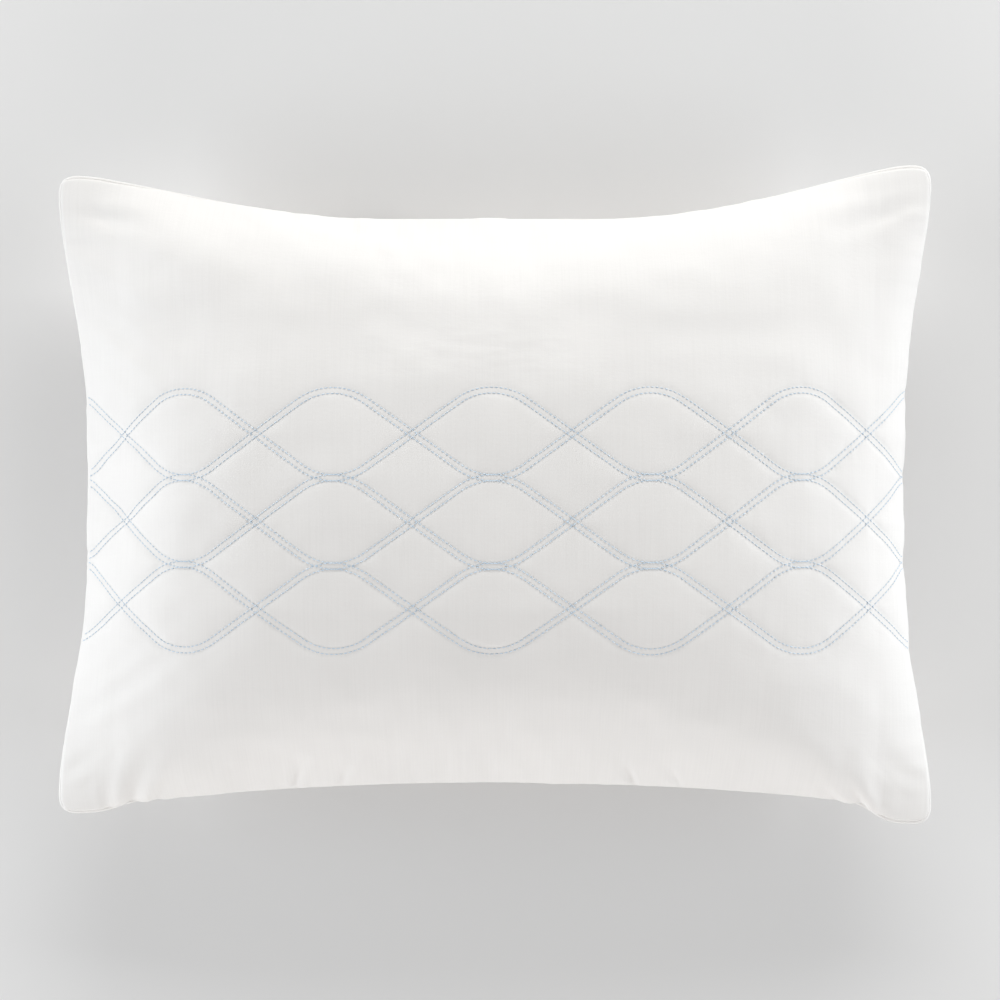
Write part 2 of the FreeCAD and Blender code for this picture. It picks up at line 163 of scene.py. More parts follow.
# The cloth's roll out over the piping
end_overhang = 0.0062
side_overhang = 0.0050
corner_overhang = 0.0046
overhang_reach = 0.020
corner_overhang_reach = 0.010
overhang_blend = 0.004
back_overhang = (0.8, 0.8, -1)  # shares of the front panel's
seam_turn = 0.0014
seam_lift = 0.0017
seam_climb = 0.0005
edge_hold_reach = 0.002

# Small folds that run in from the seam: height, pitch along it and length
broad_fold = (0.0008, 0.011, 0.05)
fine_fold = (0.0004, 0.0055, 0.03)
fold_reach = 0.018
fold_reach_pitch = 0.07
ditch_reach = 0.004  # beside the piping, where the folds fade out

# Loose cloth: height and pitch both ways of its unevenness, and of a patch of fine wrinkles behind the band
broad_sag = (0.0009, 0.055, 0.045)
fine_sag = (0.0004, 0.021, 0.017)
wrinkles = (0.00022, 0.013, 0.0032)
wrinkle_middle = (-0.01, 0.105)
wrinkle_spread = (0.075, 0.022)
kink_fold_out = 0.006  # of the folds at a kink, past it on the flat cloth
crease_lip = 0.45  # of the crease's depth
crease_lip_out = 1.9  # half widths, from the crease

# Piping
piping_radius = 0.0017
piping_out = 0.0020
piping_core_radius = 0.0011
piping_wobble = 0.06
ring_count = 900

# Inner layers: depths under the cover, and the inner pillow's inset
layer_step = 3
wadding_top = 0.0016
wadding_under = 0.0047
scrim_top = 0.0049
scrim_under = 0.0053
taper_reach = 0.015
taper_least = 0.05
casing_inset = 0.020
casing_cloth = 0.0005
casing_front_drop = 0.0075
casing_back_drop = 0.0020
fill_gap = 0.001
casing_soften_rounds = 4

# Zip
zip_inset = 0.0067
zip_drop = 0.008
tape_margin = 0.008
chain_radius = seam_radius + zip_inset
chain_z = seam_z - zip_drop
tilt = math.radians(35)
tape_half = zip_length / 2 + tape_margin
coil_near = 0.0007
coil_far = 0.0029
coil_height = 0.0018
coil_pitch = 0.0015
filament = 0.00032
hem_along = -0.0085  # the back panel's folded edge, down the lower tape from the chain's middle
hem_proud = 0.0007
hem_rise = 0.013  # the length over which that edge climbs to the seam
hem_fade = 0.004  # of the turned-in hem, below the seam
hem_under = 0.0003
hem_width = 0.006
hem_turn = (0, 0.0042, -0.0035)
pull_pivot_x = frame["record"]["behaviour"]["joints"][1]["pos_m"][0]
pull_clearance = 0.002
pull_reach = 2 * pull_pivot_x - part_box("zip_pull")[0].x + pull_clearance  # with the pull swung over
facing_top = 0.0093
facing_proud = -0.0018
facing_fade = 0.001
coil_sides = 6
coil_steps = 12  # in each turn
coil_lean = 0.2  # of the pitch
weld_gap = 0.00002

# Care label
label_points = 25
label_columns = 9
label_cloth = 0.0002
label_bow = 0.0012
label_lean = 0.0010
label_ripple = 0.0004
label_ripple_turn = 5
label_fold = 0.85  # below 1 the fold is rounder

# Setting
camera_place = (0.0038, -0.0041, 1.808)
camera_lens = 83.6
ground_half = 1.6
ground_colour = (0.757, 0.746, 0.739)
sky_colour = (1.0, 0.972, 0.945)
sky_strength = 0.28
lights = (  # name, place, size, power, colour
    ("rear_light", (0.35, 2.3, 1.0), (2.4, 0.8), 53, (0.975, 0.995, 0.995)),
    ("left_light", (-2.2, -0.35, 0.72), (1.8, 0.8), 36, (0.90, 0.955, 1.0)),
    ("right_light", (2.2, -0.30, 0.72), (1.8, 0.8), 30, (0.90, 0.955, 1.0)),
    ("front_light", (0, -2.3, 0.80), (2.4, 0.8), 22, (1.0, 0.982, 0.965)),
)

lattice_size = 257


def noise(a, b, seed):
    """Smooth random values between -1 and 1 over coordinates a and b, one lattice cell to a unit."""
    lattice = np.random.default_rng(seed).uniform(-1, 1, (lattice_size, lattice_size))
    i, j = np.floor(a).astype(int), np.floor(b).astype(int)
    return between(lattice, i, j, eased(a - i), eased(b - j))


def between(grid, i, j, s, t):
    """Values at shares s and t of the way from a grid's point to the next ones. The grid wraps round."""
    i, i_next = i % len(grid), (i + 1) % len(grid)
    j, j_next = j % grid.shape[1], (j + 1) % grid.shape[1]
    near = grid[i, j] * (1 - s) + grid[i_next, j] * s
    far = grid[i, j_next] * (1 - s) + grid[i_next, j_next] * s
    return near * (1 - t) + far * t


def eased(share):
    """A share cut to 0 to 1, with soft ends."""
    share = np.clip(share, 0, 1)
    return share**2 * (3 - 2 * share)


def unit(vectors):
    """The vectors at length 1."""
    return vectors / np.maximum(np.linalg.norm(vectors, axis=-1, keepdims=True), 1e-12)


# ---- outline


def ramp(distance, start, length):
    """0 up to start, and 1 from a length past it."""
    return min(max((distance - start) / length, 0.0), 1.0)


def corner_y(x):
    return half_width + math.copysign(end_flare, x)


def arc_y(x):
    return arc_centre_y + math.sqrt(seam_radius**2 - x**2)


def end_controls(side):
    """Control points up one end, where side is -1 or 1."""
    last = corner_y(side) - end_start * corner_spread
    points = []
    for y in np.linspace(-last, last, end_points):
        pulled = end_pull_in * ramp(corner_y(side) - abs(y), end_ramp_start, end_ramp_length)
        points.append((side * (half_length - pulled), y))
    return points


def rear_controls():
    """Control points of the rear edge, from +X to -X."""
    first = half_length - rear_start * corner_spread
    points = []
    for x in np.linspace(first, -first, side_points):
        rise = corner_y(x) - (half_width - rear_pull_in)
        points.append((x, corner_y(x) - rise * ramp(half_length - abs(x), rear_ramp_start, rear_ramp_length)))
    return points


def front_corner(side):
    """Control points from the kink at one end, round the lobe and the corner."""
    deep = -corner_y(side)
    return [
        (side * (half_length - lobe_inset), deep + lobe_slope),
        (side * (half_length - corner_spread), deep),
        (side * half_length, deep),
        (side * half_length, deep + corner_spread),
    ]


def rear_corner(side):
    high = corner_y(side)
    return [
        (side * half_length, high - corner_spread),
        (side * half_length, high),
        (side * (half_length - corner_spread), high),
    ]


def seam_controls():
    """Control points of the seam in plan, anticlockwise from the left kink."""
    xs = [-kink_x, *np.linspace(-zip_length / 2, zip_length / 2, side_points), kink_x]
    return (
        [(x, arc_y(x)) for x in xs]
        + front_corner(1)
        + end_controls(1)
        + rear_corner(1)
        + rear_controls()
        + rear_corner(-1)[::-1]
        + end_controls(-1)[::-1]
        + front_corner(-1)[::-1]
    )


def closed_curve(controls, steps):
    """Points along the smooth closed curve with these control points."""
    p = np.array(controls)
    t = np.linspace(0, 1, steps, endpoint=False)[:, None, None]
    before, after, last = np.roll(p, 1, 0), np.roll(p, -1, 0), np.roll(p, -2, 0)
    spans = (
        (1 - t) ** 3 * before
        + (3 * t**3 - 6 * t**2 + 4) * p
        + (-3 * t**3 + 3 * t**2 + 3 * t + 1) * after
        + t**3 * last
    ) / 6
    return spans.transpose(1, 0, 2).reshape(-1, 2)


def spaced(points, shares):
    """Points along an open line at those shares of its length."""
    step = np.linalg.norm(np.diff(points, axis=0), axis=1)
    at = np.concatenate([[0], np.cumsum(step)])
    where = at[-1] * np.asarray(shares)
    return np.stack([np.interp(where, at, points[:, k]) for k in range(points.shape[1])], axis=-1)


def evenly(points, count):
    """That many evenly spaced points along an open line."""
    return spaced(points, np.linspace(0, 1, count))


def crowded(count):
    """Shares from 0 to 1 that lie closer together at both ends, beside the seam."""
    step = np.arange(count - 1)
    step = 1 - crowding * np.exp(-np.minimum(step, count - 2 - step) / crowded_rows)
    at = np.concatenate([[0], np.cumsum(step)])
    return at / at[-1]


seam = closed_curve(seam_controls(), curve_steps)


def nearest_corner(sx, sy):
    return int(np.argmax(sx * seam[:, 0] / half_length + sy * seam[:, 1] / half_width))


corners = [nearest_corner(*c) for c in ((-1, -1), (1, -1), (1, 1), (-1, 1))]


def seam_side(start, end):
    """The seam between two corners, anticlockwise."""
    return np.take(seam, range(start, end + 1 if end > start else end + 1 + len(seam)), axis=0, mode="wrap")


front_line = seam_side(corners[0], corners[1])
right_line = seam_side(corners[1], corners[2])
rear_line = seam_side(corners[2], corners[3])[::-1]
left_line = seam_side(corners[3], corners[0])[::-1]


def patch(nu, nv):
    """A grid of points in plan that fills the seam, its sides evenly spaced along it."""
    s = np.linspace(0, 1, nu)[:, None, None]
    t = np.linspace(0, 1, nv)[None, :, None]
    front = evenly(front_line, nu)[:, None]
    rear = evenly(rear_line, nu)[:, None]
    left = evenly(left_line, nv)[None]
    right = evenly(right_line, nv)[None]
    twice = (1 - s) * (1 - t) * front[0, 0] + s * (1 - t) * front[-1, 0]
    twice = twice + (1 - s) * t * rear[0, 0] + s * t * rear[-1, 0]
    return (1 - t) * front + t * rear + (1 - s) * left + s * right - twice


def zip_place(along, up_tape, proud):
    """A place on the zip: along its arc, up the tape, and outwards from the tapes' face."""
    radius = chain_radius - up_tape * math.sin(tilt) - proud * math.cos(tilt)
    turn = along / chain_radius
    z = chain_z + up_tape * math.cos(tilt) - proud * math.sin(tilt) + 0 * along
    return np.stack([radius * np.sin(turn), arc_centre_y + radius * np.cos(turn), z], axis=-1)


def back_front_edge(shares):
    """The back panel's zip edge: on the seam in the lobes, and folded onto the lower tape between."""
    line = spaced(front_line, shares)
    on_seam = np.concatenate([line, np.full((len(line), 1), back_z)], axis=1)
    along = along_zip(line)
    on_tape = zip_place(along, np.full(len(line), hem_along), hem_proud)
    share = hem_share(along)[:, None]
    return on_seam * (1 - share) + on_tape * share


def along_zip(points):
    """How far along the zip's arc each point is, from its middle."""
    return chain_radius * np.arctan2(points[:, 0], points[:, 1] - arc_centre_y)


def hem_share(along):
    """1 where that edge is folded onto the tape, and 0 where it is sewn into the seam."""
    return eased((pull_reach + hem_rise - np.abs(along)) / hem_rise)


# ---- simulation


def start_grids():
    """The two panels before the filling swells them."""
    plan = patch(sim_u, sim_v)
    s = np.linspace(-1, 1, sim_u)[:, None]
    t = np.linspace(-1, 1, sim_v)[None]
    dome = (1 - s**4) * (1 - t**4)
    front = np.dstack([plan, front_z + start_rise * dome])
    back = np.dstack([plan, back_z - start_drop * dome])
    return front, with_zip_edge(back, back_front_edge(np.linspace(0, 1, sim_u)), start_fade_rows)


def with_zip_edge(grid, edge, rows):
    """The grid with its first row moved to the edge, and the rows after it moved ever less."""
    fade = np.clip(1 - np.arange(grid.shape[1]) / rows, 0, 1)[None, :, None]
    return grid + (edge - grid[:, 0])[:, None] * fade


def grid_faces(nu, nv, first, up):
    """Quads of a grid whose vertices start at first."""
    i = np.arange(nu - 1)[:, None] * nv + np.arange(nv - 1)[None] + first
    quads = np.stack([i, i + nv, i + nv + 1, i + 1], axis=-1).reshape(-1, 4)
    return quads if up else quads[:, ::-1]


def mesh_object(name, points, faces):
    """A mesh object from arrays of points and faces."""
    mesh = bpy.data.meshes.new(name)
    mesh.from_pydata(np.asarray(points).reshape(-1, 3).tolist(), [], np.asarray(faces).tolist())
    mesh.validate()
    mesh.shade_smooth()
    made = bpy.data.objects.new(name, mesh)
    bpy.context.scene.collection.objects.link(made)
    return made


def square(half):
    """Corners of a square on the floor."""
    return [(x * half, y * half, 0) for x, y in ((-1, -1), (1, -1), (1, 1), (-1, 1))]


def flat_grid(along, across):
    """Where grid points at those shares of the cloth's length and width lie on the flat cloth."""
    return np.meshgrid(cut_half_length * (2 * along - 1), cut_half_width * (2 * across - 1), indexing="ij")


def filled_panels():
    """The front and back panels, swollen by the filling, with the back resting on the floor."""
    front, back = start_grids()
    faces = np.concatenate([grid_faces(sim_u, sim_v, 0, True), grid_faces(sim_u, sim_v, sim_u * sim_v, False)])
    u, v = flat_grid(np.linspace(0, 1, sim_u), np.linspace(0, 1, sim_v))
    flat = [np.stack([u, v, 0 * u + seam_z + side * flange / 2], axis=-1) for side in (1, -1)]
    cover = mesh_object("sim", np.array(flat), faces)
    cover.shape_key_add(name="flat")
    drawn_in = cover.shape_key_add(name="drawn_in")
    drawn_in.data.foreach_set("co", np.array([front, back]).ravel())
    for value, at in ((0, 1), (1, sim_draw_frames)):
        drawn_in.value = value
        drawn_in.keyframe_insert("value", frame=at)
    rim = np.zeros((sim_u, sim_v), bool)
    rim[[0, -1]] = True
    rim[:, [0, -1]] = True
    held = cover.vertex_groups.new(name="held")
    held.add(np.flatnonzero(np.tile(rim.ravel(), 2)).tolist(), 1.0, "REPLACE")

    floor = mesh_object("sim_floor", square(1), [(0, 1, 2, 3)])
    floor.modifiers.new("stop", "COLLISION")
    floor.collision.thickness_outer = 0.001
    floor.collision.cloth_friction = 5

    cloth = cover.modifiers.new("cloth", "CLOTH")
    cloth.point_cache.frame_end = sim_frames
    for rule, value in cloth_rules.items():
        setattr(cloth.settings, rule, value)
    cloth.settings.vertex_group_mass = "held"
    cloth.settings.effector_weights.gravity = 0
    cloth.collision_settings.distance_min = 0.001
    cloth.collision_settings.collision_quality = 2
    for step in range(1, sim_frames + 1):
        bpy.context.scene.frame_set(step)
    shown = cover.evaluated_get(bpy.context.evaluated_depsgraph_get())
    points = np.zeros(len(shown.data.vertices) * 3)
    shown.data.vertices.foreach_get("co", points)
    for made in (cover, floor):
        bpy.data.objects.remove(made)
    bpy.context.scene.frame_set(1)
    return points.reshape(2, sim_u, sim_v, 3)


front_grid, back_grid = filled_panels()


# ---- fine panels


def cubic_weights(coarse, fine):
    """The matrix that turns evenly spaced values into crowded ones, on a smooth curve through them."""
    at = (coarse - 1) * crowded(fine)
    first = np.minimum(at.astype(int), coarse - 2)
    t = at - first
    shares = [
        (-t + 2 * t**2 - t**3) / 2,
        (2 - 5 * t**2 + 3 * t**3) / 2,
        (t + 4 * t**2 - 3 * t**3) / 2,
        (-(t**2) + t**3) / 2,
    ]
    weights = np.zeros((fine, coarse))
    for step, share in enumerate(shares):
        np.add.at(weights, (np.arange(fine), np.clip(first + step - 1, 0, coarse - 1)), share)
    return weights


def refined(grid, nu, nv):
    """The grid with more points on the same surface."""
    return np.einsum("ai,bj,ijk->abk", cubic_weights(len(grid), nu), cubic_weights(grid.shape[1], nv), grid)


def softened(grid, rounds):
    """The grid with each inner point moved towards the mean of its neighbours, that many times."""
    grid = grid.copy()
    for _ in range(rounds):
        mean = (grid[2:, 1:-1] + grid[:-2, 1:-1] + grid[1:-1, 2:] + grid[1:-1, :-2]) / 4
        grid[1:-1, 1:-1] = (grid[1:-1, 1:-1] + mean) / 2
    return grid


def normals(grid, up):
    """Unit normals of a grid, outwards from the pillow."""
    cross = unit(np.cross(np.gradient(grid, axis=0), np.gradient(grid, axis=1)))
    return cross if up else -cross


def fitted(grid, up):
    """The grid scaled to the pillow's height above the seam, and kept above the floor."""
    grid = grid.copy()
    if up:
        rise = grid[..., 2] - seam_z
        grid[..., 2] = seam_z + rise * (crown_z - seam_z) / rise.max()
    grid[..., 2] = np.maximum(grid[..., 2], floor_gap)
    return grid


def wave_shape():
    """Where a wave's straight flanks would meet above its middle, and their slope."""
    short = crest_radius - wave_height
    steepness = 1 - (2 * crest_radius / lens_length) ** 2
    peak = (math.sqrt(short**2 + steepness * (crest_radius**2 - short**2)) - short) / steepness
    return peak, math.atan2(2 * peak, lens_length)


peak, flank = wave_shape()
crest_centre = peak - crest_radius / math.cos(flank)


def wave_gap(u, v, middle, phase):
    """How far each point is from a wave's middle line, halfway between its two stitched lines."""
    crest = np.round(u / lens_length)
    sign = phase * (1 - 2 * (crest % 2))
    across = np.abs(u - crest * lens_length)
    up = sign * (v - middle)
    below = up - crest_centre
    on_crest = np.arctan2(across, below) < flank
    round_gap = np.hypot(across, below) - crest_radius
    flank_gap = (up - peak + across * math.tan(flank)) * math.cos(flank)
    return np.where(on_crest, round_gap, flank_gap) * sign


def waves():
    """The middle and phase of each wave."""
    for row in range(quilt_rows):
        for phase in (1, -1):
            yield band_v + row_spacing * (row - (quilt_rows - 1) / 2), phase


def quilting(u, v):
    """Height of the quilted cloth: down at the stitched lines, and puffed in the cells between them."""
    gap = np.full(u.shape, 1.0)
    for middle, phase in waves():
        gap = np.minimum(gap, np.abs(np.abs(wave_gap(u - band_u, v, middle, phase)) - line_spacing / 2))
    sunk = stitch_sink * np.exp(-gap / stitch_sink_reach) + puff * np.exp(-gap / puff_reach)
    fine = noise(u / pucker_pitch + 40, v / pucker_pitch + 40, 3)
    pucker = fine * fine_pucker_share + noise(u / broad_pucker_pitch + 40, v / broad_pucker_pitch + 40, 4)
    return -sunk + pucker_height * pucker * np.exp(-gap / pucker_reach)


def edge_gaps(u, v):
    """How far a place on the flat cloth is from its nearer end, and from its nearer side."""
    return cut_half_length - np.abs(u), cut_half_width - np.abs(v)


def seam_gap(u, v):
    """How far inside the seam a place on the flat cloth is."""
    return np.minimum(*edge_gaps(u, v))


def seam_puckers(u, v, seed):
    """Height of the small folds that run in from the seam, which stop short of the piping."""
    from_end, from_side = edge_gaps(u, v)
    height = 0 * u
    for away, along, side, k in ((from_side, u, np.sign(v), 0), (from_end, v, np.sign(u), 7)):
        broad = broad_fold[0] * noise(along / broad_fold[1] + 60 + 20 * side, away / broad_fold[2] + 5, seed + k)
        fine = fine_fold[0] * noise(along / fine_fold[1] + 90 + 20 * side, away / fine_fold[2] + 5, seed + k + 1)
        reach = fold_reach * (1.2 + noise(along / fold_reach_pitch + 30 + 9 * side, 0 * u, seed + k + 2))
        height += (broad + fine) * np.exp(-away / reach)
    return height * (1 - np.exp(-seam_gap(u, v) / ditch_reach))


def overhang(u, v):
    """How far the filling pushes the cloth out over the piping, and lifts it there."""
    from_end, from_side = edge_gaps(u, v)
    away = np.sign(u) / (from_end + overhang_blend), np.sign(v) / (from_side + overhang_blend)
    away = unit(np.stack(away, axis=-1))
    edge = np.minimum(from_end, from_side)
    corner = np.exp(-((np.maximum(from_end, from_side) / corner_reach) ** 2))
    most = np.where(from_end < from_side, end_overhang, side_overhang)
    most = most * (1 - corner) + corner_overhang * corner
    reach = overhang_reach * (1 - corner) + corner_overhang_reach * corner
    push = most * (1 - np.exp(-((edge / seam_turn) ** 2))) * np.exp(-edge / reach)
    return np.concatenate([away * push[..., None], seam_rise(edge)[..., None]], axis=-1)


def seam_rise(edge):
    """How far the cloth climbs beside the piping, at a distance from the seam."""
    return seam_lift * (1 - np.exp(-edge / seam_climb))


def fold_line(u, v, start, end, depth, width):
    """Height of one soft crease, deepest near its start, with a raised lip on each side."""
    start, end = np.array(start), np.array(end)
    length = np.linalg.norm(end - start)
    ahead = (end - start) / length
    along = ((u - start[0]) * ahead[0] + (v - start[1]) * ahead[1]) / length
    side = (u - start[0]) * -ahead[1] + (v - start[1]) * ahead[0]
    side = side + 0.25 * width * noise(along * 3 + 20, 0 * along, 91)
    wide = width * (0.6 + 0.7 * np.clip(along, 0, 1))
    fade = np.clip(along * 6 + 0.6, 0, 1) * np.clip(1 - along, 0, 1) ** 0.8
    lip = crease_lip * np.exp(-(((np.abs(side) - crease_lip_out * wide) / wide) ** 2))
    return depth * fade * (lip - np.exp(-((side / wide) ** 2)))


def band_rise(v):
    """Height of the padded band above the plain cloth behind it."""
    return band_rise_height * eased((band_back_v - v) / band_rise_reach)


def creases(u, v):
    """The corner creases, and the tucks where the zip edge is drawn in."""
    end, side, kink = cut_half_length, cut_half_width, kink_x + kink_fold_out
    folds = []  # start, end, depth and width of each
    for x in (-1, 1):
        folds += [
            ((x * end * 0.975, side * 0.90), (x * end * 0.74, side * 0.82), 0.0020, 0.0075),
            ((x * end * 0.990, side * 0.80), (x * end * 0.84, side * 0.70), 0.0008, 0.0070),
            ((x * kink, -side), (x * kink * 0.90, -side * 0.78), 0.0022, 0.0075),
            ((x * (kink + 0.018), -side), (x * (kink + 0.010), -side * 0.86), 0.0010, 0.0060),
            ((x * kink * 0.93, -side * 0.99), (x * kink * 0.82, -side * 0.82), 0.0010, 0.0060),
            ((x * end * 0.985, -side * 0.88), (x * end * 0.86, -side * 0.78), 0.0012, 0.0075),
        ]
    for x, lean, depth in ((-0.155, 0.012, 1), (-0.120, 0.016, 0.8), (0.105, -0.014, 1), (0.140, -0.018, 0.7)):
        folds.append(((x, -side * 0.985), (x + lean, -side * 0.83), 0.0013 * depth, 0.0045))
    height = 0 * u
    for fold in folds:
        height += fold_line(u, v, *fold)
    return height


def softness(u, v, seed):
    """Height of the loose cloth's slight unevenness."""
    broad = broad_sag[0] * noise(u / broad_sag[1] + 20, v / broad_sag[2] + 20, seed)
    fine = fine_sag[0] * noise(u / fine_sag[1] + 20, v / fine_sag[2] + 20, seed + 1)
    across, up = (u - wrinkle_middle[0]) / wrinkle_spread[0], (v - wrinkle_middle[1]) / wrinkle_spread[1]
    patch_height = wrinkles[0] * np.exp(-(across**2) - up**2)
    return broad + fine + patch_height * noise(u / wrinkles[1] + 50, v / wrinkles[2] + 60, seed + 2)


def front_panel_points():
    """The upper panel's points before its quilting and folds, and with them."""
    plain = refined(softened(fitted(front_grid, True), soften_rounds), fine_u, fine_v)
    s, t = crowded(fine_u), crowded(fine_v)
    plain[:, 0, :2] = spaced(front_line, s)
    plain[:, -1, :2] = spaced(rear_line, s)
    plain[0, :, :2] = spaced(left_line, t)
    plain[-1, :, :2] = spaced(right_line, t)
    u, v = flat_grid(s, t)
    fall = end_fall * np.clip((np.abs(u) - end_fall_u) / end_fall_reach, 0, 1) ** 2
    lowered = (band_rise(v) - band_rise_height - fall) * (1 - np.exp(-seam_gap(u, v) / band_rise_reach))
    plain = plain + normals(plain, True) * lowered[..., None]
    raised = quilting(u, v) + seam_puckers(u, v, 11) + creases(u, v) + softness(u, v, 31)
    full = plain + normals(plain, True) * (raised * edge_hold(u, v))[..., None] + overhang(u, v)
    least = front_z + seam_rise(seam_gap(u, v)) + corner_rise(u, v)
    over = full[..., 2] - least
    blend = corner_blend * (1 - np.exp(-seam_gap(u, v) / corner_blend_reach))
    full[..., 2] = least + (over + np.sqrt(over**2 + blend**2)) / 2
    return plain, full


def back_panel_points():
    """The lower panel's points, with its folds, flat where it rests."""
    nu, nv = (fine_u + 1) // 2, (fine_v + 1) // 2
    plain = refined(softened(fitted(back_grid, False), soften_rounds), nu, nv)
    plain = with_zip_edge(plain, back_front_edge(crowded(nu)), fade_rows)
    u, v = flat_grid(crowded(nu), crowded(nv))
    free = np.clip(plain[..., 2] / rest_reach, 0, 1)
    raised = (seam_puckers(u, v, 51) + softness(u, v, 71)) * free
    sewn = np.where(v < 0, 1 - hem_share(u), 1)
    pushed = overhang(u, v) * back_overhang * sewn[..., None]
    full = plain + normals(plain, False) * (raised * edge_hold(u, v))[..., None] + pushed
    most = back_z - seam_rise(seam_gap(u, v)) * sewn
    full[..., 2] = np.clip(full[..., 2], floor_gap, most)
    return full


def corner_rise(u, v):
    """How far a filled corner's cloth stands above the piping at least."""
    from_end, from_side = edge_gaps(u, v)
    inside = from_end * from_side / (from_end + from_side + 1e-6)
    return corner_slope * corner_slope_reach * (1 - np.exp(-inside / corner_slope_reach))


def edge_hold(u, v):
    """0 at the seam and 1 from a little way inside it."""
    return np.clip(seam_gap(u, v) / edge_hold_reach, 0, 1)


front_plain, front_full = front_panel_points()
back_full = back_panel_points()


# ---- materials


class Look:
    """A procedural material: its shader, and short ways to add nodes to it."""

    on_cloth = False

    def __init__(self, name, **sockets):
        self.material = bpy.data.materials.new(name)
        self.material.use_nodes = True
        self.tree = self.material.node_tree
        self.shader = self.tree.nodes["Principled BSDF"]
        for socket, value in sockets.items():
            self.shader.inputs[socket.replace("_", " ")].default_value = value

    def feed(self, socket, value):
        """Links a socket to another one, or sets its value."""
        if isinstance(value, bpy.types.NodeSocket):
            self.tree.links.new(value, socket)
        else:
            socket.default_value = value

    def node(self, kind, settings=(), **sockets):
        made = self.tree.nodes.new("ShaderNode" + kind)
        for key, value in dict(settings).items():
            setattr(made, key, value)
        for socket, value in sockets.items():
            self.feed(made.inputs[socket.replace("_", " ")], value)
        return made

    def place(self, scale):
        """Coordinates in metres times scale: on the flat cloth where it has them, or else in space."""
        if self.on_cloth:
            source = self.node("UVMap", {"uv_map": "flat"}).outputs["UV"]
        else:
            source = self.node("TexCoord").outputs["Object"]
        return self.node("Mapping", Vector=source, Scale=scale).outputs["Vector"]

    def clouds(self, scale, detail=2.0):
        """Noise from 0 to 1, with that many cells to a metre on each axis."""
        return self.node("TexNoise", Vector=self.place(scale), Scale=1.0, Detail=detail).outputs["Fac"]

    def bands(self, scale, axis, warp=0.0):
        """Ribs from 0 to 1 across an axis."""
        place = self.place((1, 1, 1))
        made = self.node("TexWave", {"bands_direction": axis}, Vector=place, Scale=scale, Distortion=warp)
        return made.outputs["Fac"]

    def maths(self, operation, *values):
        """The result of a sum on values, each a number or a socket."""
        made = self.tree.nodes.new("ShaderNodeMath")
        made.operation = operation
        for socket, value in zip(made.inputs, values):
            self.feed(socket, value)
        return made.outputs[0]

    def ramp(self, value, dark, light, low=0.3, high=0.7):
        """A colour between dark and light as value goes from low to high."""
        made = self.node("ValToRGB", Fac=value)
        for stop, at, colour in zip(made.color_ramp.elements, (low, high), (dark, light)):
            stop.position = at
            stop.color = (*colour, 1)
        return made.outputs["Color"]

    def mixed(self, factor, first, second, blend="MIX"):
        """Two colours mixed, each a colour or a socket."""
        made = self.node("Mix", {"data_type": "RGBA", "blend_type": blend})
        for index, value in ((0, factor), (6, first), (7, second)):
            self.feed(made.inputs[index], value)
        return made.outputs[2]

    def paint(self, colour):
        self.feed(self.shader.inputs["Base Color"], colour)

    def rough(self, value, low, high):
        """Roughness from low to high as value goes from 0 to 1."""
        self.feed(self.shader.inputs["Roughness"], self.maths("MULTIPLY_ADD", value, high - low, low))

    def emboss(self, height, distance, strength=1.0):
        """Bumps of that height in metres, on top of any there already."""
        made = self.node("Bump", Height=height, Distance=distance, Strength=strength)
        old = self.shader.inputs["Normal"].links
        if old:
            self.feed(made.inputs["Normal"], old[0].from_socket)
        self.feed(self.shader.inputs["Normal"], made.outputs["Normal"])


class ClothLook(Look):
    """A material laid out on the flat cloth by its UV map."""

    on_cloth = True


def sateen_look(name, dark, light):
    """White cotton sateen: long floats along the cloth, faint slubs across it, and a low sheen."""
    look = ClothLook(name, Roughness=0.55, Sheen_Weight=0.25, Sheen_Roughness=0.4)
    look.shader.inputs["Specular IOR Level"].default_value = 0.35
    slub = look.clouds((900, 16, 1), 3.0)
    slub_across = look.clouds((14, 760, 1), 2.0)
    broad = look.clouds((9, 9, 1), 2.0)
    threads = look.maths("MULTIPLY_ADD", slub_across, 0.2, look.maths("MULTIPLY", slub, 0.8))
    streaks = look.ramp(threads, dark, light, 0.3, 0.6)
    tone = look.ramp(broad, (0.975, 0.975, 0.975), (1.0, 1.0, 1.0), 0.35, 0.65)
    look.paint(look.mixed(1.0, streaks, tone, "MULTIPLY"))
    look.rough(slub, 0.50, 0.62)
    look.emboss(look.clouds((2600, 700, 1), 1.0), 0.00010, 0.5)
    look.emboss(slub, 0.00006, 0.4)
    look.emboss(look.clouds((180, 420, 1), 2.0), 0.00022, 0.35)
    return look.material


def thread_look(name, dark, light):
    """Twisted sewing thread."""
    look = Look(name, Roughness=0.6, Sheen_Weight=0.3)
    look.paint(look.ramp(look.clouds((900, 900, 900), 2.0), dark, light))
    look.emboss(look.bands(900, "DIAGONAL", 0.4), 0.00006, 0.6)
    return look.material


def woven_look(name, dark, light, ribs, height, **sockets):
    """A plain weave with ribs both ways, in space."""
    look = Look(name, **{"Roughness": 0.8, "Sheen_Weight": 0.2, **sockets})
    ribbed = look.maths("MAXIMUM", look.bands(ribs, "X", 0.3), look.bands(ribs, "Y", 0.3))
    fuzz = look.clouds((160, 160, 160), 3.0)
    look.paint(look.mixed(look.maths("MULTIPLY", fuzz, 0.5), look.ramp(ribbed, dark, light), (*light, 1)))
    look.emboss(ribbed, height, 0.7)
    look.emboss(fuzz, height, 0.4)
    return look.material


def fibre_look(name, colour):
    """Loose fluffed fibre."""
    look = Look(name, Roughness=0.95, Sheen_Weight=0.5)
    strands = look.clouds((420, 60, 240), 5.0)
    look.paint(look.ramp(strands, tuple(0.86 * c for c in colour), colour, 0.35, 0.6))
    look.emboss(strands, 0.0015, 0.7)
    return look.material


